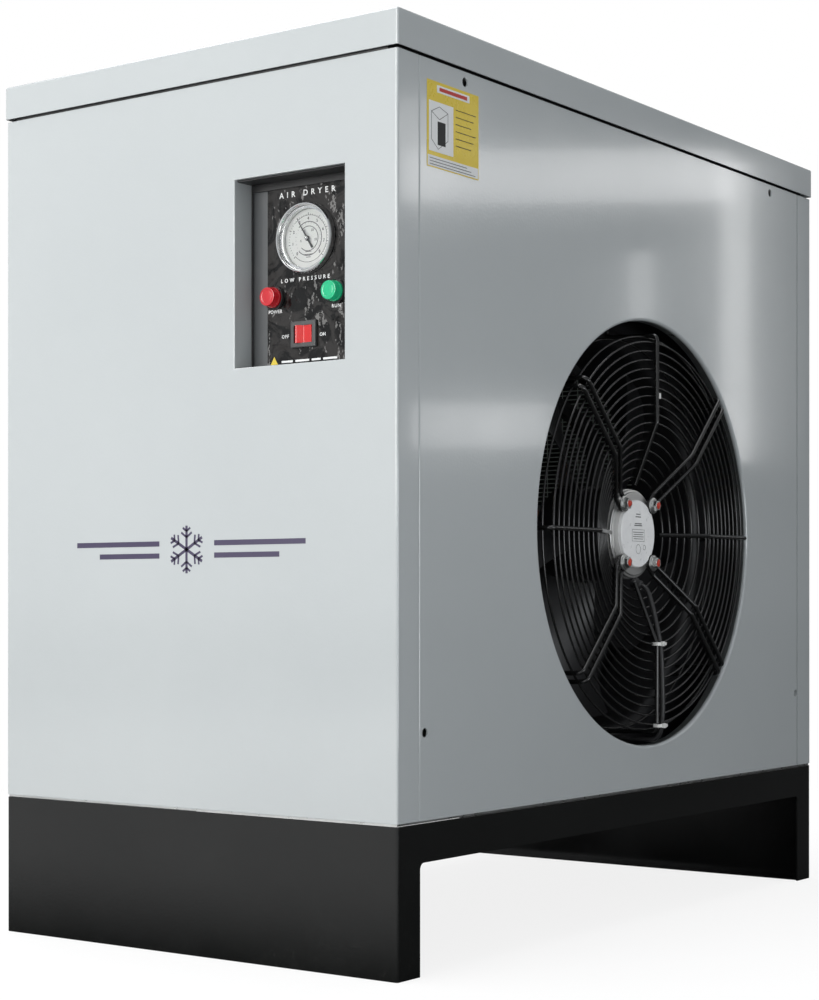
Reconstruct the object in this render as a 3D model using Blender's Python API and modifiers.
"""Refrigerated air dryer: a floor-standing sheet-metal cabinet with a side axial fan.

Axes: the control panel faces -Y, the fan faces +X, +Z is up. The origin is the bottom centre.
Every length is in metres and every angle in degrees unless a name says otherwise.
"""
import math

import bmesh
import bpy
from mathutils import Matrix, Vector

# Cabinet -----------------------------------------------------------------------------------
WIDTH = 0.510                      # across the control face, X
DEPTH = 0.880                      # front face to rear face, Y
HEIGHT = 0.890                     # floor to the top of the cover
PORT_REACH = 0.040                 # how far the air ports stand out of the rear panel
SHEET = 0.0015                     # panel sheet thickness
PLATE = 0.0025                     # base plate thickness
GAP = 0.0003                       # clearance between pieces that touch
PAST = 0.010                       # how far a cutter reaches past what it cuts
HALF = WIDTH / 2
FRONT = -(DEPTH + PORT_REACH) / 2
REAR = FRONT + DEPTH
PORT_END = REAR + PORT_REACH

BASE_TOP = 0.142                   # top of the black base
DECK_TOP = 0.1442
PANEL_BOTTOM = 0.1445
PANEL_TOP = 0.853
COVER_BOTTOM = 0.856
COVER_PROUD = 0.0015               # how far the cover stands out of the panels
FRONT_RETURN = 0.033               # the front panel's bend onto each side
REAR_RETURN = 0.036
SEAM = 0.0008                      # visible gap between a side panel and its neighbours
SIDE_FLANGE = 0.012                # side panel edges, folded inwards

# Base --------------------------------------------------------------------------------------
LEG_WIDTH = 0.036
RAIL_BOTTOM = 0.1055
INNER_CORNER = 0.006
SKIRT_LIP = 0.030
RAIL_FLANGE = 0.025

# Control window ----------------------------------------------------------------------------
WINDOW_X = (0.060, 0.194)
WINDOW_Z = (0.573, 0.755)
WINDOW_DEPTH = 0.0265
FILM_X = (0.080, 0.174)
FILM_FACE = FRONT + 0.0260
PLATE_FACE = FRONT + 0.0268
GAUGE_X = 0.129
GAUGE_Z = 0.6955
GAUGE_RADIUS = 0.034
GAUGE_HOLE = 0.0305                # radius of the gauge's hole in plate and film
POINTER_REST = -33.0               # degrees clockwise from straight up
LAMP_X = {"power_lamp": 0.0895, "run_lamp": 0.1645}
LAMP_Z = 0.6415
LAMP_RADIUS = 0.0098
LAMP_HOLE = 0.0083
SWITCH_X = 0.1260
SWITCH_Z = 0.6039
SWITCH_SIZE = (0.031, 0.0255)
SWITCH_CAVITY = (0.0110, 0.0090)   # half width and half height of the hole for the rocker
ROCKER_TILT = 10.0

# Fan ---------------------------------------------------------------------------------------
FAN_Y = FRONT + 0.472
FAN_Z = 0.4224
FAN_HOLE = 0.232                   # radius of the opening in the side panel
COLLAR = 0.012
COWL_FACE = 0.1965
COWL_HALF = 0.250
COWL_TOP = 0.700
CABLE_DROP = 0.2255                # the motor lead passes the cowl this far below the axis
DUCT_RADIUS = 0.2140
DUCT_BACK = 0.115
GUARD_FACE = 0.2590                # X of the spokes' centre line
GUARD_RADIUS = 0.216
HUB_FACE = 0.2340                  # X of the motor flange's outer face
FLANGE_RADIUS = 0.049
NAMEPLATE_RADIUS = 0.037
BOLT_SPACING = 0.064               # square pattern of the four guard bolts
SPOKE_WIRE = 0.0025
RING_WIRE = 0.0016
LOOP_RADIUS = 0.0065               # each double spoke turns round its bolt
SPOKE_BEND = 0.121                 # radius where a plain spoke starts its dish
SPOKE_INNER = (0.2345, 0.0540)     # X and radius of a plain spoke's inner end
ROTOR_RADIUS = 0.0513
BLADE_TIP = 0.205
BLADES = 5
BLADE_PHASE = 33.0                 # angle of the first blade's root, degrees from +Y

# Machinery ---------------------------------------------------------------------------------
COMPRESSOR = (-0.050, 0.270)
COMPRESSOR_RADIUS = 0.088
COMPRESSOR_TOP = 0.420
EXCHANGER_LOW = (-0.230, -0.430, 0.1447)
EXCHANGER_HIGH = (-0.030, -0.290, 0.800)
PIPE_Z = 0.760
INLET_X = -0.160
OUTLET_X = -0.075
PIPE_RADIUS = 0.0242
PIPE_BORE = 0.0205
SOCKET_RADIUS = 0.0300
SEPARATOR = (0.035, -0.340)
SEPARATOR_RADIUS = 0.045
ACCUMULATOR = (0.072, 0.200)
VENT_X = (-0.200, 0.000)
VENT_Z = (0.490, 0.640)
DRAIN_X = 0.115
DRAIN_Z = 0.200
REAR_HOLE = 0.0088                 # radius of the holes for the drain cock and the cable gland
GLAND_X = -0.170
GLAND_Z = 0.230

FINISHES = {                       # name: (colour, metallic, roughness)
    "cabinet_grey": ((0.62, 0.65, 0.66), 0.0, 0.35),
    "gloss_black": ((0.012, 0.012, 0.013), 0.0, 0.18),
    "satin_black": ((0.03, 0.03, 0.032), 0.0, 0.45),
    "zinc_plate": ((0.62, 0.63, 0.62), 1.0, 0.38),
    "cast_aluminium": ((0.72, 0.72, 0.71), 1.0, 0.42),
    "polished_steel": ((0.78, 0.78, 0.78), 1.0, 0.16),
    "copper": ((0.80, 0.42, 0.26), 1.0, 0.30),
    "brass": ((0.78, 0.60, 0.28), 1.0, 0.30),
    "dial_white": ((0.90, 0.90, 0.88), 0.0, 0.50),
    "red_plastic": ((0.75, 0.03, 0.03), 0.0, 0.25),
    "green_plastic": ((0.02, 0.55, 0.22), 0.0, 0.25),
    "clear_glass": ((0.90, 0.95, 0.95), 0.0, 0.05),
    "foam_black": ((0.02, 0.02, 0.02), 0.0, 0.90),
    "rubber_black": ((0.02, 0.02, 0.02), 0.0, 0.70),
    "relay_cream": ((0.75, 0.74, 0.68), 0.0, 0.45),
}

PARTS = "refrigerated_air_dryer"
CUTTERS = "cutters"
TURN_TO_FRONT = (math.radians(90), 0.0, 0.0)       # a turned piece's +Z becomes -Y
TURN_TO_REAR = (math.radians(-90), 0.0, 0.0)       # a turned piece's +Z becomes +Y
TURN_TO_SIDE = (0.0, math.radians(90), 0.0)        # a turned piece's +Z becomes +X


# Tools of the trade ------------------------------------------------------------------------
def clear_scene():
    """Remove every object, so that the script can be run again."""
    for old in list(bpy.data.objects):
        bpy.data.objects.remove(old, do_unlink=True)
    for name in (PARTS, CUTTERS):
        collection = bpy.data.collections.get(name) or bpy.data.collections.new(name)
        if name not in bpy.context.scene.collection.children:
            bpy.context.scene.collection.children.link(collection)


def material(name):
    """Return the Principled material of one finish."""
    found = bpy.data.materials.get(name)
    if found:
        return found
    colour, metallic, roughness = FINISHES[name]
    made = bpy.data.materials.new(name)
    made.use_nodes = True
    shader = made.node_tree.nodes["Principled BSDF"]
    shader.inputs["Base Color"].default_value = (*colour, 1.0)
    shader.inputs["Metallic"].default_value = metallic
    shader.inputs["Roughness"].default_value = roughness
    return made


def file_under(piece, collection):
    """Move an object into one collection."""
    for old in list(piece.users_collection):
        old.objects.unlink(piece)
    bpy.data.collections[collection].objects.link(piece)


def part(piece, name, finish):
    """Make an object a named part with its finish."""
    piece.name = name
    piece.data.materials.clear()
    piece.data.materials.append(material(finish))
    file_under(piece, PARTS)
    return piece


def cutter(piece):
    """Make an object a tool of a Boolean, which isn't a part."""
    piece.hide_render = True
    piece.display_type = "WIRE"
    file_under(piece, CUTTERS)
    return piece


def box(low, high):
    """A block between two corners, with its scale applied."""
    centre = [(a + b) / 2 for a, b in zip(low, high)]
    bpy.ops.mesh.primitive_cube_add(size=1.0, location=centre)
    block = bpy.context.object
    block.scale = [b - a for a, b in zip(low, high)]
    bpy.ops.object.transform_apply(location=False, rotation=False, scale=True)
    return block


def cylinder(centre, radius, length, turn=(0.0, 0.0, 0.0), sides=24):
    """A cylinder about its own Z, turned afterwards."""
    bpy.ops.mesh.primitive_cylinder_add(vertices=sides, radius=radius, depth=length,
                                        location=centre, rotation=turn)
    return bpy.context.object


def turned(profile, place, turn=(0.0, 0.0, 0.0), steps=32):
    """A profile of (radius, height) points, turned about the object's own Z."""
    mesh = bpy.data.meshes.new("profile")
    edges = [(i, i + 1) for i in range(len(profile) - 1)]
    mesh.from_pydata([(r, 0.0, z) for r, z in profile], edges, [])
    piece = bpy.data.objects.new("turned", mesh)
    bpy.context.scene.collection.objects.link(piece)
    piece.location = place
    piece.rotation_euler = turn
    spin = piece.modifiers.new("Screw", "SCREW")
    spin.axis = "Z"
    spin.steps = steps
    spin.render_steps = steps
    spin.use_merge_vertices = True
    spin.merge_threshold = 0.00002
    spin.use_normal_calculate = False
    return piece


def ring_profile(inner, outer, low, high):
    """The closed profile of a plain tube or ring."""
    return [(inner, low), (inner, high), (outer, high), (outer, low), (inner, low)]


def boolean(piece, other, operation):
    """Cut or join with a tool object, which stays in the file."""
    step = piece.modifiers.new(operation.title(), "BOOLEAN")
    step.operation = operation
    step.solver = "EXACT"
    step.object = cutter(other)
    return piece


def cut(piece, *others):
    """Cut tools out of a piece."""
    for other in others:
        boolean(piece, other, "DIFFERENCE")
    return piece


def join(piece, *others):
    """Join tools to a piece as one solid."""
    for other in others:
        boolean(piece, other, "UNION")
    return piece


def smooth_route(points, per_span):
    """A smooth curve through chosen points (Catmull-Rom), straight along its two end spans."""
    spots = [Vector(p) for p in points]
    route = [spots[0]]
    for a, b, c, d in zip(spots, spots[1:], spots[2:], spots[3:]):
        for step in range(per_span):
            t = step / per_span
            even = 2 * b + (2 * a - 5 * b + 4 * c - d) * t ** 2
            odd = (c - a) * t + (3 * b - a - 3 * c + d) * t ** 3
            route.append((even + odd) / 2)
    route += spots[-2:]
    return route


def tube(points, radius):
    """A round wire or pipe along points, with filled ends."""
    curve = bpy.data.curves.new("route", "CURVE")
    curve.dimensions = "3D"
    curve.bevel_depth = radius
    curve.bevel_resolution = 2
    curve.use_fill_caps = True
    spline = curve.splines.new("POLY")
    spline.points.add(len(points) - 1)
    for spot, place in zip(spline.points, points):
        spot.co = (*place, 1.0)
    piece = bpy.data.objects.new("tube", curve)
    bpy.context.scene.collection.objects.link(piece)
    return piece


def as_mesh(source):
    """Make a curve object one closed mesh, ready for a Boolean."""
    bpy.context.view_layer.update()
    ready = source.evaluated_get(bpy.context.evaluated_depsgraph_get())
    mesh = bpy.data.meshes.new_from_object(ready)
    shape = bmesh.new()
    shape.from_mesh(mesh)
    bmesh.ops.remove_doubles(shape, verts=shape.verts, dist=0.00001)
    shape.to_mesh(mesh)
    shape.free()
    piece = bpy.data.objects.new("solid", mesh)
    piece.matrix_world = source.matrix_world
    bpy.context.scene.collection.objects.link(piece)
    bpy.data.objects.remove(source, do_unlink=True)
    return piece


def outline(points, thickness, place, turn):
    """A flat outline, extruded both ways to its thickness."""
    curve = bpy.data.curves.new("outline", "CURVE")
    curve.dimensions = "2D"
    curve.fill_mode = "BOTH"
    curve.extrude = thickness / 2
    spline = curve.splines.new("POLY")
    spline.points.add(len(points) - 1)
    for spot, (x, y) in zip(spline.points, points):
        spot.co = (x, y, 0.0, 1.0)
    spline.use_cyclic_u = True
    piece = bpy.data.objects.new("outline", curve)
    bpy.context.scene.collection.objects.link(piece)
    piece.location = place
    piece.rotation_euler = turn
    return piece


def arc(centre, radius, start, end, steps):
    """Points on an arc, angles in degrees."""
    angles = [math.radians(start + (end - start) * i / steps) for i in range(steps + 1)]
    return [(centre[0] + radius * math.cos(a), centre[1] + radius * math.sin(a)) for a in angles]


def on_fan(x, radius, angle):
    """A point at a radius and angle about the fan's axis; 0 is +Y and 90 is up."""
    turn = math.radians(angle)
    return Vector((x, FAN_Y + radius * math.cos(turn), FAN_Z + radius * math.sin(turn)))


# Base --------------------------------------------------------------------------------------
def build_base():
    """Black base: two skirts, two side frames and the deck they carry."""
    for name, outer, inwards in (("base_front_skirt", FRONT, 1), ("base_rear_skirt", REAR, -1)):
        wall = sorted((outer, outer + inwards * PLATE))
        lip = sorted((outer + inwards * PLATE / 2, outer + inwards * SKIRT_LIP))
        skirt = box((-HALF, wall[0], 0.0), (HALF, wall[1], BASE_TOP))
        foot = box((-HALF + PLATE + GAP, lip[0], 0.0), (HALF - PLATE - GAP, lip[1], PLATE))
        part(join(skirt, foot), name, "gloss_black")
    near = FRONT + PLATE + GAP
    far = REAR - PLATE - GAP
    legs = (FRONT + LEG_WIDTH, REAR - LEG_WIDTH)
    corners = ((legs[1] - INNER_CORNER, RAIL_BOTTOM - INNER_CORNER),
               (legs[0] + INNER_CORNER, RAIL_BOTTOM - INNER_CORNER))
    shape = [(near, 0.0), (near, BASE_TOP), (far, BASE_TOP), (far, 0.0), (legs[1], 0.0)]
    shape += arc(corners[0], INNER_CORNER, 0, 90, 3)
    shape += arc(corners[1], INNER_CORNER, 90, 180, 3)
    shape.append((legs[0], 0.0))
    upright = (math.radians(90), 0.0, math.radians(90))
    for name, side in (("base_left_side", -1), ("base_right_side", 1)):
        middle = side * (HALF - PLATE / 2)
        frame = as_mesh(outline(shape, PLATE, (middle, 0.0, 0.0), upright))
        ledge = sorted((side * (HALF - PLATE / 2), side * (HALF - RAIL_FLANGE)))
        ledge_y = (legs[0] + 0.010, legs[1] - 0.010)
        flange = box((ledge[0], ledge_y[0], RAIL_BOTTOM), (ledge[1], ledge_y[1], RAIL_BOTTOM + PLATE))
        part(join(frame, flange), name, "gloss_black")
    inset = 0.0015
    deck = box((-HALF + inset, FRONT + inset, BASE_TOP + GAP), (HALF - inset, REAR - inset, DECK_TOP))
    part(deck, "deck_plate", "zinc_plate")


# Cabinet -----------------------------------------------------------------------------------
def channel(low, high, open_low, open_high):
    """A block with its inside cut away, for a bent sheet panel."""
    return cut(box(low, high), box(open_low, open_high))


def build_front_panel():
    """Front panel with its two side returns and the tunnel of the control window."""
    panel = channel((-HALF, FRONT, PANEL_BOTTOM), (HALF, FRONT + FRONT_RETURN, PANEL_TOP),
                    (-HALF + SHEET, FRONT + SHEET, PANEL_BOTTOM - PAST),
                    (HALF - SHEET, FRONT + FRONT_RETURN + PAST, PANEL_TOP + PAST))
    tunnel = box((WINDOW_X[0] - SHEET, FRONT + SHEET / 2, WINDOW_Z[0] - SHEET),
                 (WINDOW_X[1] + SHEET, FRONT + WINDOW_DEPTH, WINDOW_Z[1] + SHEET))
    window = box((WINDOW_X[0], FRONT - PAST, WINDOW_Z[0]),
                 (WINDOW_X[1], FRONT + WINDOW_DEPTH + PAST, WINDOW_Z[1]))
    join(panel, tunnel)
    part(cut(panel, window), "front_panel", "cabinet_grey")


def build_rear_panel():
    """Rear panel with side returns and holes for the vent, ports, drain and cable."""
    panel = channel((-HALF, REAR - REAR_RETURN, PANEL_BOTTOM), (HALF, REAR, PANEL_TOP),
                    (-HALF + SHEET, REAR - REAR_RETURN - PAST, PANEL_BOTTOM - PAST),
                    (HALF - SHEET, REAR - SHEET, PANEL_TOP + PAST))
    cut(panel, box((VENT_X[0], REAR - PAST, VENT_Z[0]), (VENT_X[1], REAR + PAST, VENT_Z[1])))
    holes = ((INLET_X, PIPE_Z, PIPE_RADIUS + 0.0013), (OUTLET_X, PIPE_Z, PIPE_RADIUS + 0.0013),
             (DRAIN_X, DRAIN_Z, REAR_HOLE), (GLAND_X, GLAND_Z, REAR_HOLE))
    for x, z, radius in holes:
        cut(panel, cylinder((x, REAR, z), radius, 2 * PAST, TURN_TO_FRONT))
    part(panel, "rear_panel", "cabinet_grey")
    edge = 0.010
    low = (VENT_X[0] - edge, REAR - SHEET - GAP - SHEET, VENT_Z[0] - edge)
    high = (VENT_X[1] + edge, REAR - SHEET - GAP, VENT_Z[1] + edge)
    grille = box(low, high)
    rows = 13
    pitch = (VENT_Z[1] - VENT_Z[0]) / rows
    slot_end = VENT_Z[0] + 0.6 * pitch
    rib = 0.004
    slot = box((VENT_X[0] + rib, low[1] - PAST, VENT_Z[0]), (VENT_X[1] - rib, high[1] + PAST, slot_end))
    repeat = slot.modifiers.new("Array", "ARRAY")
    repeat.count = rows
    repeat.use_relative_offset = False
    repeat.use_constant_offset = True
    repeat.constant_offset_displace = (0.0, 0.0, pitch)
    part(cut(grille, slot), "rear_vent_grille", "satin_black")


def side_panel(side):
    """A plain side panel: a sheet with its front and rear edges folded inwards."""
    low_y = FRONT + FRONT_RETURN + SEAM
    high_y = REAR - REAR_RETURN - SEAM
    across = sorted((side * HALF, side * (HALF - SIDE_FLANGE)))
    inside = sorted((side * (HALF - SHEET), side * (HALF - SIDE_FLANGE - PAST)))
    return channel((across[0], low_y, PANEL_BOTTOM), (across[1], high_y, PANEL_TOP),
                   (inside[0], low_y + SHEET, PANEL_BOTTOM - PAST),
                   (inside[1], high_y - SHEET, PANEL_TOP + PAST))


def build_side_panels():
    """Right panel with the fan's collar, left panel with the intake slots."""
    right = side_panel(1)
    solid = cylinder((HALF - COLLAR / 2 - SHEET / 4, FAN_Y, FAN_Z), FAN_HOLE + SHEET,
                     COLLAR - SHEET / 2, TURN_TO_SIDE, sides=64)
    hole = cylinder((HALF, FAN_Y, FAN_Z), FAN_HOLE, 4 * COLLAR, TURN_TO_SIDE, sides=64)
    join(right, solid)
    part(cut(right, hole), "right_side_panel", "cabinet_grey")
    left = side_panel(-1)
    low = 0.200
    length = 0.200
    height = 0.006
    for start in (-0.255, -0.045):
        slot = box((-HALF - PAST, start, low), (-HALF + PAST, start + length, low + height))
        repeat = slot.modifiers.new("Array", "ARRAY")
        repeat.count = 14
        repeat.use_relative_offset = False
        repeat.use_constant_offset = True
        repeat.constant_offset_displace = (0.0, 0.0, 0.028)
        cut(left, slot)
    part(left, "left_side_panel", "cabinet_grey")


def build_cover():
    """Top cover and the frame that carries it above the panels."""
    edge = COVER_PROUD
    cover = channel((-HALF - edge, FRONT - edge, COVER_BOTTOM), (HALF + edge, REAR + edge, HEIGHT),
                    (-HALF - edge + SHEET, FRONT - edge + SHEET, COVER_BOTTOM - PAST),
                    (HALF + edge - SHEET, REAR + edge - SHEET, HEIGHT - SHEET))
    part(cover, "top_cover", "cabinet_grey")
    half_x = HALF - SIDE_FLANGE - GAP
    ends = (FRONT + SHEET + GAP, REAR - SHEET - GAP)
    frame_bottom = 0.820
    frame_top = HEIGHT - SHEET - GAP
    frame = channel((-half_x, ends[0], frame_bottom), (half_x, ends[1], frame_top),
                    (-half_x + PLATE, ends[0] + PLATE, frame_bottom - PAST),
                    (half_x - PLATE, ends[1] - PLATE, frame_top + PAST))
    part(frame, "top_frame", "satin_black")


# Controls ----------------------------------------------------------------------------------
def build_control_plate():
    """The plate that closes the window's tunnel, and the glossy film on it."""
    margin = 0.006
    plate = box((WINDOW_X[0] - margin, PLATE_FACE, WINDOW_Z[0] - margin),
                (WINDOW_X[1] + margin, PLATE_FACE + SHEET, WINDOW_Z[1] + margin))
    film = box((FILM_X[0], FILM_FACE, WINDOW_Z[0] + 0.001),
               (FILM_X[1], FILM_FACE + 0.0004, WINDOW_Z[1] - 0.001))
    for sheet in (plate, film):
        cut(sheet, cylinder((GAUGE_X, PLATE_FACE, GAUGE_Z), GAUGE_HOLE, 2 * PAST, TURN_TO_FRONT, sides=40))
        for x in LAMP_X.values():
            cut(sheet, cylinder((x, PLATE_FACE, LAMP_Z), LAMP_HOLE, 2 * PAST, TURN_TO_FRONT))
        half_x = SWITCH_CAVITY[0] + 0.0028
        half_z = SWITCH_CAVITY[1] + 0.0023
        cut(sheet, box((SWITCH_X - half_x, PLATE_FACE - PAST, SWITCH_Z - half_z),
                       (SWITCH_X + half_x, PLATE_FACE + PAST, SWITCH_Z + half_z)))
    part(plate, "control_plate", "satin_black")
    part(film, "control_film", "gloss_black")


def build_gauge():
    """Refrigerant pressure gauge: case with its bezel, dial, pointer and glass."""
    seat = FILM_FACE - GAP
    rim = 0.0070
    step = 0.0015
    floor = -0.0040
    case = [(0.0, floor), (0.0285, floor), (0.0285, step), (0.0305, step), (0.0305, rim),
            (GAUGE_RADIUS - 0.001, rim), (GAUGE_RADIUS, rim - 0.001), (GAUGE_RADIUS, 0.0),
            (0.0300, 0.0), (0.0300, -0.0290), (0.0, -0.0290)]
    place = (GAUGE_X, seat, GAUGE_Z)
    part(turned(case, place, TURN_TO_FRONT, steps=40), "gauge_case", "polished_steel")
    dial_top = floor + GAP + 0.0008
    dial = [(0.0, dial_top), (0.0282, dial_top), (0.0282, floor + GAP), (0.0, floor + GAP)]
    part(turned(dial, place, TURN_TO_FRONT, steps=40), "gauge_dial", "dial_white")
    lens = [(0.0, step + 0.0022), (0.0302, step + 0.0022), (0.0302, step + GAP), (0.0, step + GAP)]
    part(turned(lens, place, TURN_TO_FRONT, steps=40), "gauge_glass", "clear_glass")
    hub = 0.0026
    shape = [(-0.0011, -0.0110), (0.0011, -0.0110), (0.0008, -0.0026)]
    shape += arc((0.0, 0.0), hub, -70, 70, 4)
    shape += [(0.0, 0.0235)]
    shape += arc((0.0, 0.0), hub, 110, 250, 4)
    shape += [(-0.0008, -0.0026)]
    pointer = outline(shape, 0.0006, (GAUGE_X, seat + 0.0012, GAUGE_Z), (0.0, 0.0, 0.0))
    pointer.rotation_euler = (math.radians(90), math.radians(POINTER_REST), 0.0)
    part(pointer, "gauge_pointer", "satin_black")


def build_lamps():
    """Two pilot lamps: a black body through the plate, and its coloured lens."""
    for lamp, x in LAMP_X.items():
        place = (x, FILM_FACE - GAP, LAMP_Z)
        body = [(0.0, 0.0024), (0.0112, 0.0024), (0.0116, 0.0018), (0.0116, 0.0), (0.0080, 0.0),
                (0.0080, -0.0260), (0.0, -0.0260)]
        part(turned(body, place, TURN_TO_FRONT), lamp + "_body", "satin_black")
        base = 0.0024 + GAP
        lens = [(0.0, 0.0130), (0.0082, 0.0130), (LAMP_RADIUS, 0.0116), (LAMP_RADIUS, base), (0.0, base)]
        finish = "red_plastic" if lamp == "power_lamp" else "green_plastic"
        part(turned(lens, place, TURN_TO_FRONT), lamp + "_lens", finish)


def build_switch():
    """Rocker switch: a frame through the plate and a rocker on its hinge."""
    half_x = SWITCH_SIZE[0] / 2
    half_z = SWITCH_SIZE[1] / 2
    seat = FILM_FACE - GAP
    front = seat - 0.0024
    frame = box((SWITCH_X - half_x, front, SWITCH_Z - half_z), (SWITCH_X + half_x, seat, SWITCH_Z + half_z))
    cavity_x, cavity_z = SWITCH_CAVITY
    wall_x = cavity_x + 0.0024
    wall_z = cavity_z + 0.0019
    body = box((SWITCH_X - wall_x, seat - 0.001, SWITCH_Z - wall_z),
               (SWITCH_X + wall_x, seat + 0.024, SWITCH_Z + wall_z))
    cavity = box((SWITCH_X - cavity_x, front - PAST, SWITCH_Z - cavity_z),
                 (SWITCH_X + cavity_x, seat + 0.013, SWITCH_Z + cavity_z))
    join(frame, body)
    part(cut(frame, cavity), "switch_frame", "satin_black")
    reach = 0.0094
    shape = [(-reach, -0.0062), (0.0, -0.0040), (reach, -0.0062), (reach, -0.0020)]
    shape += arc((0.0, -0.0020), reach, 0, 180, 8)[1:]
    rocker = outline(shape, 2 * cavity_z - 0.0010, (SWITCH_X, seat + 0.0020, SWITCH_Z), (0.0, 0.0, 0.0))
    rocker.rotation_euler = (0.0, 0.0, math.radians(ROCKER_TILT))
    part(rocker, "switch_rocker", "red_plastic")


# Fan ---------------------------------------------------------------------------------------
def build_cowl():
    """The plate and duct round the fan blades."""
    wall = HALF - SHEET - GAP
    bottom = DECK_TOP + 0.0005
    cowl = channel((COWL_FACE - SHEET, FAN_Y - COWL_HALF, bottom), (wall, FAN_Y + COWL_HALF, COWL_TOP),
                   (COWL_FACE, FAN_Y - COWL_HALF + SHEET, bottom + SHEET),
                   (wall + PAST, FAN_Y + COWL_HALF - SHEET, COWL_TOP - SHEET))
    duct_end = COWL_FACE - SHEET / 2
    duct = cylinder(((duct_end + DUCT_BACK) / 2, FAN_Y, FAN_Z), DUCT_RADIUS + SHEET,
                    duct_end - DUCT_BACK, TURN_TO_SIDE, sides=48)
    hole = cylinder((COWL_FACE, FAN_Y, FAN_Z), DUCT_RADIUS, 0.400, TURN_TO_SIDE, sides=48)
    cable_hole = cylinder((COWL_FACE, FAN_Y, FAN_Z - CABLE_DROP), 0.0050, 2 * PAST, TURN_TO_SIDE, sides=12)
    join(cowl, duct)
    part(cut(cowl, hole, cable_hole), "fan_cowl", "satin_black")


def spoke_x(radius):
    """X of a plain spoke's centre line at a radius: flat outside its bend, dished inside it."""
    if radius >= SPOKE_BEND:
        return GUARD_FACE
    inner_x, inner_radius = SPOKE_INNER
    share = (radius - inner_radius) / (SPOKE_BEND - inner_radius)
    return inner_x + (GUARD_FACE - inner_x) * share


def build_guard():
    """Wire guard: rings, four plain spokes, and four double spokes round the bolts."""
    foot = COWL_FACE + 0.0010
    hub_x = HUB_FACE + GAP + SPOKE_WIRE
    bolt_radius = BOLT_SPACING / math.sqrt(2)
    guard = None
    for angle in (0, 90, 180, 270):
        line = [on_fan(*SPOKE_INNER, angle), on_fan(GUARD_FACE, SPOKE_BEND, angle),
                on_fan(GUARD_FACE, 0.2145, angle), on_fan(GUARD_FACE - 0.004, 0.2185, angle),
                on_fan(foot, 0.2190, angle)]
        wire = as_mesh(tube(line, SPOKE_WIRE))
        guard = join(guard, wire) if guard else wire
    for angle in (45, 135, 225, 315):
        along = on_fan(0.0, 1.0, angle) - on_fan(0.0, 0.0, angle)
        across = on_fan(0.0, 1.0, angle + 90) - on_fan(0.0, 0.0, angle)
        leg = [(foot, 0.2188), (GUARD_FACE - 0.004, 0.2185), (GUARD_FACE, 0.2145), (GUARD_FACE, 0.120),
               (hub_x, 0.057)]
        out = [on_fan(x, r, angle) - across * LOOP_RADIUS for x, r in leg]
        bolt = on_fan(hub_x, bolt_radius, angle)
        loop = [bolt + across * x + along * y for x, y in arc((0, 0), LOOP_RADIUS, 180, 360, 6)]
        back = [on_fan(x, r, angle) + across * LOOP_RADIUS for x, r in reversed(leg)]
        join(guard, as_mesh(tube(out + loop + back, SPOKE_WIRE)))
    behind = 0.0030
    rings = [(r, spoke_x(r) - behind) for r in (0.075, 0.110, 0.145, 0.180)]
    rings += [(GUARD_RADIUS - 0.001, GUARD_FACE - behind), (GUARD_RADIUS, foot + 0.004)]
    phase = Matrix.Rotation(math.radians(3.1), 3, "X")      # keeps ring corners off the spokes
    turn = (phase @ Matrix.Rotation(math.radians(90), 3, "Y")).to_euler()
    for radius, x in rings:
        bpy.ops.mesh.primitive_torus_add(major_radius=radius, minor_radius=RING_WIRE, major_segments=32,
                                         minor_segments=5, location=(x, FAN_Y, FAN_Z), rotation=turn)
        join(guard, bpy.context.object)
    part(guard, "fan_guard", "gloss_black")


def bolt_places():
    """Angles of the four guard bolts with their numbers."""
    return enumerate((135, 45, 225, 315), start=1)


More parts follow.
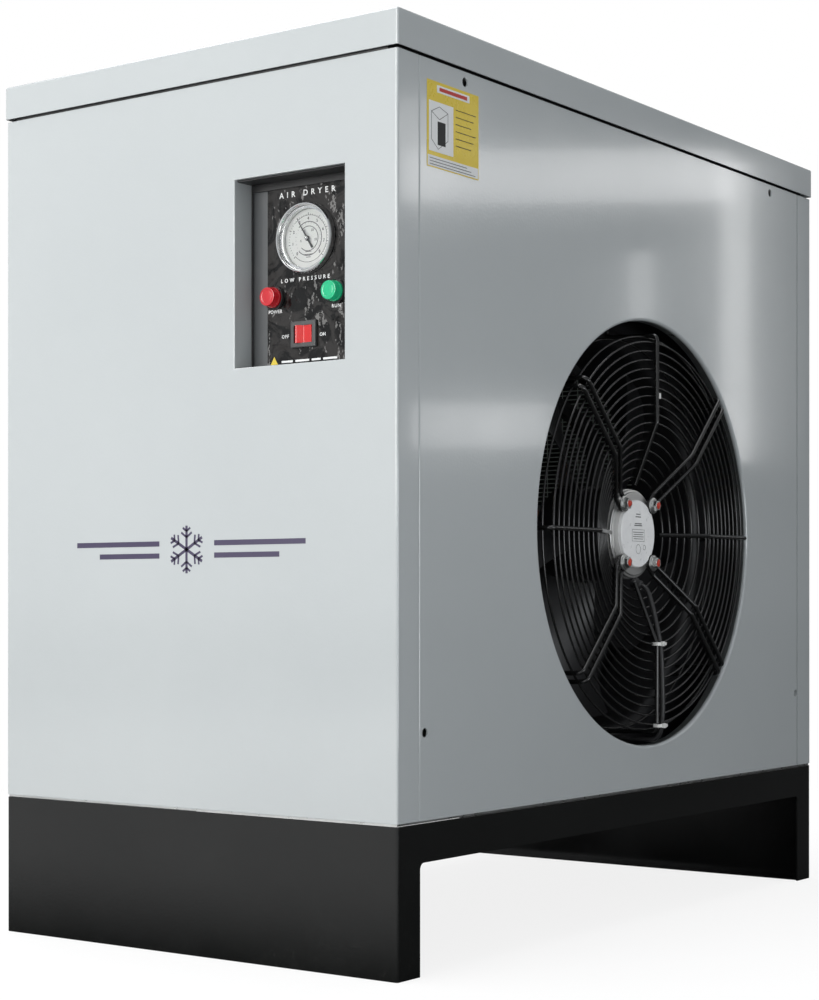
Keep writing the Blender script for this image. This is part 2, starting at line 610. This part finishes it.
def build_motor():
    """External-rotor fan motor: flange, nameplate, rotor can and the guard's bolts."""
    origin = (0.0, FAN_Y, FAN_Z)
    bolt_radius = BOLT_SPACING / math.sqrt(2)
    back = 0.2222
    flange = [(0.0, HUB_FACE), (0.0465, HUB_FACE), (0.0480, 0.2325), (FLANGE_RADIUS, 0.2320),
              (FLANGE_RADIUS, 0.2275), (0.0500, 0.2270), (0.0500, back), (0.0, back)]
    flange = turned(flange, origin, TURN_TO_SIDE, steps=40)
    plate_face = 0.2388
    plate = [(0.0, plate_face), (NAMEPLATE_RADIUS - 0.001, plate_face),
             (NAMEPLATE_RADIUS, plate_face - 0.001), (NAMEPLATE_RADIUS, HUB_FACE + GAP),
             (0.0, HUB_FACE + GAP)]
    plate = turned(plate, origin, TURN_TO_SIDE, steps=40)
    washer_x = HUB_FACE + GAP + 2 * SPOKE_WIRE + GAP
    for number, angle in bolt_places():
        spot = on_fan(0.0, bolt_radius, angle)
        cut(flange, cylinder((HUB_FACE, spot.y, spot.z), 0.0033, 0.0160, TURN_TO_SIDE, sides=12))
        cut(plate, cylinder((HUB_FACE, spot.y, spot.z), 0.0098, 0.0300, TURN_TO_SIDE))
        washer = cylinder((washer_x + 0.0008, spot.y, spot.z), 0.0090, 0.0016, TURN_TO_SIDE)
        head = cylinder((washer_x + 0.0040, spot.y, spot.z), 0.0058, 0.0060, TURN_TO_SIDE, sides=6)
        shank = cylinder((washer_x - 0.0060, spot.y, spot.z), 0.0030, 0.0140, TURN_TO_SIDE, sides=12)
        part(join(washer, head, shank), "guard_bolt_%d" % number, "zinc_plate")
    part(flange, "fan_motor_flange", "cast_aluminium")
    part(plate, "fan_motor_nameplate", "cast_aluminium")
    rotor = [(0.0, 0.2190), (0.0470, 0.2190), (ROTOR_RADIUS, 0.2150), (ROTOR_RADIUS, 0.1400),
             (0.0470, 0.1350), (0.0, 0.1350)]
    part(turned(rotor, origin, TURN_TO_SIDE, steps=40), "fan_rotor_can", "satin_black")


def blade(angle):
    """One pitched and swept blade, bent from a flat grid."""
    bpy.ops.mesh.primitive_grid_add(x_subdivisions=6, y_subdivisions=5, size=1.0)
    piece = bpy.context.object
    root = ROTOR_RADIUS + 0.0012
    for vertex in piece.data.vertices:
        out = vertex.co.x + 0.5
        chord = vertex.co.y
        radius = root + (BLADE_TIP - root) * out
        swing = angle + chord * (43.0 - 9.0 * out) + 16.0 * out ** 2
        depth = chord * (0.052 - 0.018 * out) + 0.010 * (1.0 - 4.0 * chord ** 2) * out
        vertex.co = on_fan(0.158 + depth, radius, swing)
    piece.data.update()
    shell = piece.modifiers.new("Solidify", "SOLIDIFY")
    shell.thickness = 0.0016
    shell.offset = 0.0
    return piece


def build_impeller():
    """Blade ring on the rotor, with its blades; the object's origin is on the fan's axis."""
    ring = turned(ring_profile(ROTOR_RADIUS + GAP, 0.0545, 0.1430, 0.1800), (0.0, FAN_Y, FAN_Z),
                  TURN_TO_SIDE, steps=40)
    for number in range(BLADES):
        join(ring, blade(BLADE_PHASE + 360.0 * number / BLADES))
    part(ring, "fan_impeller", "satin_black")


def build_fan_cable():
    """Motor lead, tied to the lower spoke and led through the cowl to the electrical tray."""
    run_x = GUARD_FACE + 0.0036
    beside = 0.0057
    start = [(0.2290, FAN_Y + 0.006, FAN_Z - 0.0535), (0.2400, FAN_Y + 0.006, FAN_Z - 0.0570),
             (0.2485, FAN_Y + beside, FAN_Z - 0.066), (0.2562, FAN_Y + beside, FAN_Z - 0.098),
             (0.2616, FAN_Y + beside, FAN_Z - 0.130)]
    down = [(run_x, FAN_Y + beside, FAN_Z - 0.165), (run_x, FAN_Y + beside, FAN_Z - 0.203),
            (run_x - 0.007, FAN_Y + beside, FAN_Z - 0.2240), (0.2350, FAN_Y + 0.003, FAN_Z - 0.2265),
            (0.2100, FAN_Y, FAN_Z - CABLE_DROP), (0.1880, FAN_Y, FAN_Z - CABLE_DROP)]
    inside = [(0.1750, FAN_Y - 0.015, FAN_Z - 0.2330), (0.1680, FAN_Y - 0.070, 0.172),
              (0.1680, FAN_Y - 0.200, 0.165), (0.1650, -0.290, 0.172), (0.1500, -0.345, 0.200),
              (0.1400, -0.360, 0.240), (0.1400, -0.360, 0.2790)]
    part(tube(smooth_route(start + down + inside, 4), 0.0028), "fan_cable", "rubber_black")


# Machinery ---------------------------------------------------------------------------------
def build_compressor():
    """Hermetic compressor, its foot plate and the suction accumulator."""
    x, y = COMPRESSOR
    low = 0.1500
    high = COMPRESSOR_TOP
    r = COMPRESSOR_RADIUS
    shell = [(0.0, high), (0.4 * r, high - 0.004), (0.8 * r, high - 0.020), (r, high - 0.050),
             (r, high - 0.120), (r + 0.003, high - 0.122), (r + 0.003, high - 0.130), (r, high - 0.132),
             (r, low + 0.040), (0.8 * r, low + 0.012), (0.4 * r, low + 0.001), (0.0, low)]
    part(turned(shell, (x, y, 0.0)), "compressor_shell", "satin_black")
    half = 0.090
    part(box((x - half, y - half, DECK_TOP + GAP), (x + half, y + half, low - GAP)), "compressor_base",
         "zinc_plate")
    ax, ay = ACCUMULATOR
    tank = [(0.0, 0.330), (0.018, 0.327), (0.030, 0.310), (0.030, 0.180), (0.018, 0.163), (0.0, 0.160)]
    tank = turned(tank, (ax, ay, 0.0), steps=24)
    towards = (Vector((x, y)) - Vector((ax, ay))).normalized()
    gap = (Vector((x, y)) - Vector((ax, ay))).length - r - 0.0010
    stub_start = 0.02
    stub_z = 0.230
    stub = as_mesh(tube([(ax + towards.x * stub_start, ay + towards.y * stub_start, stub_z),
                         (ax + towards.x * gap, ay + towards.y * gap, stub_z)], 0.0060))
    part(join(tank, stub), "suction_accumulator", "satin_black")


def build_condenser():
    """Finned condenser block in its sheet frame, against the left panel."""
    low = (-0.2400, -0.2750, DECK_TOP + 0.0005)
    high = (-0.2060, 0.1750, 0.6240)
    frame = channel(low, high, (low[0] - PAST, low[1] + SHEET, low[2] + SHEET),
                    (high[0] + PAST, high[1] - SHEET, high[2] - SHEET))
    part(frame, "condenser_frame", "zinc_plate")
    inset = SHEET + GAP
    core = box((low[0] + 0.002, low[1] + inset, low[2] + inset),
               (high[0] - 0.002, high[1] - inset, high[2] - inset))
    part(core, "condenser_core", "cast_aluminium")


def build_exchanger():
    """Insulated heat exchanger, water separator, automatic drain and their pipes."""
    jacket = box(EXCHANGER_LOW, EXCHANGER_HIGH)
    soft = jacket.modifiers.new("Bevel", "BEVEL")
    soft.width = 0.010
    soft.segments = 2
    part(jacket, "heat_exchanger", "foam_black")
    x, y = SEPARATOR
    r = SEPARATOR_RADIUS
    vessel = [(0.0, 0.620), (0.6 * r, 0.614), (r, 0.590), (r, 0.330), (0.6 * r, 0.306), (0.0, 0.300)]
    part(turned(vessel, (x, y, 0.0)), "water_separator", "foam_black")
    side = EXCHANGER_HIGH[0] + GAP
    near = x - r - GAP
    neck = cylinder(((side + near) / 2, y, 0.540), 0.0180, near - side, TURN_TO_SIDE)
    part(neck, "separator_inlet_pipe", "foam_black")
    rise = [(x, y, 0.6203), (x, y, 0.650), (x - 0.004, y, 0.675), (x - 0.022, y, 0.697),
            (side + 0.020, y, 0.700), (side, y, 0.700)]
    part(tube(smooth_route(rise, 3), 0.0160), "separator_outlet_pipe", "foam_black")
    drain = [(0.0, 0.2995), (0.012, 0.2995), (0.012, 0.290), (0.022, 0.288), (0.022, 0.240),
             (0.010, 0.238), (0.010, 0.225), (0.0, 0.225)]
    part(turned(drain, (x, y, 0.0), steps=24), "automatic_drain", "brass")
    hose = [(x, y, 0.2247), (x, y, 0.205), (x + 0.010, y + 0.010, 0.175), (x + 0.035, y + 0.045, 0.158),
            (DRAIN_X - 0.008, y + 0.110, 0.154), (DRAIN_X, -0.100, 0.154), (DRAIN_X, 0.150, 0.154),
            (DRAIN_X, 0.300, 0.156), (DRAIN_X, 0.345, 0.170), (DRAIN_X, 0.372, 0.194),
            (DRAIN_X, 0.392, DRAIN_Z), (DRAIN_X, 0.4027, DRAIN_Z)]
    part(tube(smooth_route(hose, 3), 0.0050), "drain_hose", "rubber_black")
    start = EXCHANGER_HIGH[1] + GAP
    floor = 0.250
    pipe = [(0.0, floor), (PIPE_BORE, floor), (PIPE_BORE, PORT_END - 0.004),
            (PIPE_BORE + 0.002, PORT_END), (SOCKET_RADIUS - 0.001, PORT_END),
            (SOCKET_RADIUS, PORT_END - 0.001), (SOCKET_RADIUS, REAR + 0.008),
            (PIPE_RADIUS, REAR + 0.006), (PIPE_RADIUS, start), (0.0, start)]
    for name, pipe_x in (("air_inlet_pipe", INLET_X), ("air_outlet_pipe", OUTLET_X)):
        part(turned(pipe, (pipe_x, 0.0, PIPE_Z), TURN_TO_REAR), name, "brass")


def build_refrigerant_lines():
    """Copper lines, filter drier and hot gas bypass valve."""
    x, y = COMPRESSOR
    core_face = -0.2080 + GAP
    wall = EXCHANGER_HIGH[1] + GAP
    thin = 0.0048
    discharge = [(x - COMPRESSOR_RADIUS - GAP, y, 0.270), (-0.155, y, 0.270), (-0.172, y - 0.004, 0.290),
                 (-0.174, y - 0.020, 0.400), (-0.174, 0.180, 0.540), (-0.176, 0.140, 0.576),
                 (-0.190, 0.130, 0.580), (core_face, 0.130, 0.580)]
    part(tube(smooth_route(discharge, 4), thin), "discharge_line", "copper")
    drier_x = -0.120
    drier_z = 0.200
    near = -0.080
    far = -0.200
    drier = [(0.0, near), (0.008, near), (0.018, near - 0.014), (0.018, far + 0.014), (0.008, far),
             (0.0, far)]
    part(turned(drier, (drier_x, 0.0, drier_z), TURN_TO_REAR, steps=24), "filter_drier", "copper")
    liquid = [(core_face, -0.030, drier_z), (-0.185, -0.030, drier_z), (-0.140, -0.034, drier_z),
              (-0.124, -0.044, drier_z), (drier_x, -0.062, drier_z), (drier_x, near + GAP, drier_z)]
    part(tube(smooth_route(liquid, 4), thin), "liquid_line", "copper")
    expansion = [(drier_x, far - GAP, drier_z), (drier_x, -0.215, drier_z), (drier_x, -0.235, 0.222),
                 (drier_x, -0.248, 0.262), (drier_x, -0.270, 0.278), (drier_x, wall, 0.278)]
    part(tube(smooth_route(expansion, 4), 0.0030), "expansion_capillary", "copper")
    ax, ay = ACCUMULATOR
    suction = [(-0.090, wall, 0.600), (-0.090, -0.260, 0.600), (-0.075, -0.150, 0.606),
               (-0.020, 0.000, 0.606), (0.045, 0.130, 0.590), (ax, 0.190, 0.545), (ax, ay, 0.470),
               (ax, ay, 0.380), (ax, ay, 0.3303)]
    part(tube(smooth_route(suction, 4), 0.0110), "suction_line", "foam_black")
    valve_y = 0.020
    valve_x = -0.110
    valve = [(0.0, 0.560), (0.012, 0.558), (0.020, 0.548), (0.020, 0.538), (0.011, 0.532),
             (0.011, 0.480), (0.0, 0.480)]
    part(turned(valve, (valve_x, valve_y, 0.0), steps=24), "hot_gas_valve", "brass")
    hot_gas = [(x, y, COMPRESSOR_TOP + GAP), (x, y, 0.445), (x - 0.012, y - 0.030, 0.482),
               (valve_x + 0.010, 0.140, 0.500), (valve_x, 0.070, 0.500), (valve_x, valve_y + 0.0115, 0.500)]
    part(tube(smooth_route(hot_gas, 4), thin), "hot_gas_line", "copper")


def build_electrics():
    """Electrical tray with its contactor, and the gland of the supply cable."""
    low = (0.105, -0.430, 0.280)
    high = (0.205, -0.290, 0.520)
    tray = channel(low, high, (low[0] + SHEET, low[1] + SHEET, low[2] + SHEET),
                   (high[0] + PAST, high[1] - SHEET, high[2] - SHEET))
    part(tray, "electrical_tray", "zinc_plate")
    back = low[0] + SHEET + GAP
    contactor = box((back, -0.405, 0.400), (back + 0.070, -0.355, 0.485))
    soft = contactor.modifiers.new("Bevel", "BEVEL")
    soft.width = 0.002
    soft.segments = 1
    part(contactor, "contactor", "relay_cream")
    bore = 0.0045
    neck = REAR_HOLE - GAP
    nut = 0.0125
    gland = [(0.0, REAR - 0.010), (bore, REAR - 0.010), (bore, REAR + 0.022), (neck, REAR + 0.022),
             (nut, REAR + 0.014), (nut, REAR + GAP), (neck, REAR + GAP), (neck, REAR - 0.018),
             (0.0, REAR - 0.018)]
    gland = turned(gland, (GLAND_X, 0.0, GLAND_Z), TURN_TO_REAR, steps=24)
    part(gland, "supply_cable_gland", "rubber_black")


def build_drain_cock():
    """Manual drain cock on the rear panel; its lever swings about an upright stem."""
    stem_y = REAR + 0.024
    end = REAR + 0.036
    bore = 0.0035
    neck = REAR_HOLE - GAP
    barrel = 0.0105
    body = [(0.0, REAR - 0.002), (bore, REAR - 0.002), (bore, end), (0.0075, end),
            (0.0075, stem_y + 0.008), (barrel, stem_y + 0.007), (barrel, stem_y - 0.010),
            (neck, stem_y - 0.011), (neck, REAR - 0.017), (0.0, REAR - 0.017)]
    body = turned(body, (DRAIN_X, 0.0, DRAIN_Z), TURN_TO_REAR, steps=24)
    neck_top = DRAIN_Z + 0.0155
    neck_low = DRAIN_Z + 0.006
    stem = cylinder((DRAIN_X, stem_y, (neck_low + neck_top) / 2), 0.0045, neck_top - neck_low, sides=16)
    part(join(body, stem), "drain_cock_body", "brass")
    eye = 0.0060
    tip = 0.0520
    shape = arc((0.0, 0.0), eye, 50, 310, 8)
    shape += arc((tip, 0.0), 0.0042, -90, 90, 6)
    thickness = 0.0020
    lever = outline(shape, thickness, (DRAIN_X, stem_y, neck_top + GAP + thickness / 2), (0.0, 0.0, 0.0))
    part(lever, "drain_cock_lever", "red_plastic")


def shade_round_pieces():
    """Smooth shading with sharp edges kept."""
    for piece in bpy.data.collections[PARTS].objects:
        if piece.type == "MESH":
            piece.data.shade_smooth()
            piece.data.set_sharp_from_angle(angle=math.radians(35))


def build():
    """Build the whole dryer."""
    clear_scene()
    build_base()
    build_front_panel()
    build_rear_panel()
    build_side_panels()
    build_cover()
    build_control_plate()
    build_gauge()
    build_lamps()
    build_switch()
    build_cowl()
    build_guard()
    build_motor()
    build_impeller()
    build_fan_cable()
    build_compressor()
    build_condenser()
    build_exchanger()
    build_refrigerant_lines()
    build_electrics()
    build_drain_cock()
    shade_round_pieces()


build()
